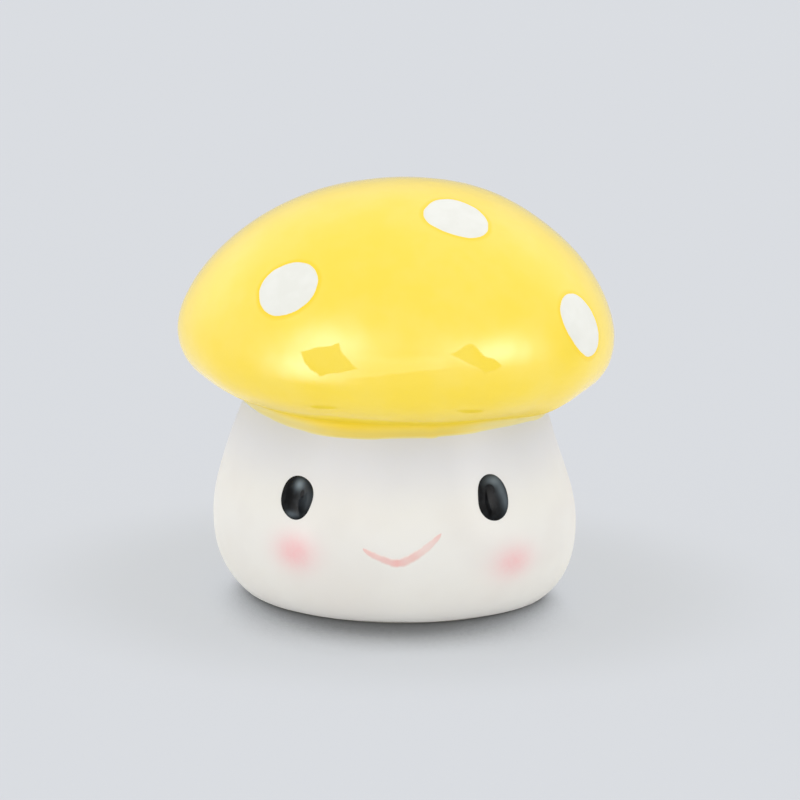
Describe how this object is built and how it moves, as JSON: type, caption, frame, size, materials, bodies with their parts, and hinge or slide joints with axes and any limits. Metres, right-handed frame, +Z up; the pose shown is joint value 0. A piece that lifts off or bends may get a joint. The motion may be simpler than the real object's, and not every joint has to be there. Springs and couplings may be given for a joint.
{
  "type": "ceramic mushroom ornament",
  "caption": "Hollow slip-cast mushroom ornament with a glazed, spotted dome cap, a rounded stem with a small smiling face, and a flat foot ring to stand on.",
  "frame": {"origin": "centre of the foot, on the surface that the ornament stands on", "axes": "+Z up along the axis of the stem and cap; the face looks along -Y; +X is to the right of someone who looks at the face"},
  "size_m": [0.0521, 0.0521, 0.0498],
  "materials": {
    "bare_clay": "matt, unglazed fired clay",
    "yellow_glaze": "glossy",
    "white_glaze": "glossy",
    "spot_glaze": "glossy",
    "eye_glaze": "glossy",
    "pink_slip": "glossy"
  },
  "bodies": {
    "root": {"cap_body": "bare_clay", "stem_body": "bare_clay", "luting_slip": "bare_clay", "cap_glaze": "yellow_glaze", "stem_glaze": "white_glaze", "cap_spot_1": "spot_glaze", "cap_spot_2": "spot_glaze", "cap_spot_3": "spot_glaze", "cap_spot_4": "spot_glaze", "cap_spot_5": "spot_glaze", "cap_spot_6": "spot_glaze", "cap_spot_7": "spot_glaze", "left_eye": "eye_glaze", "right_eye": "eye_glaze", "smile": "pink_slip"}
  },
  "joints": []
}
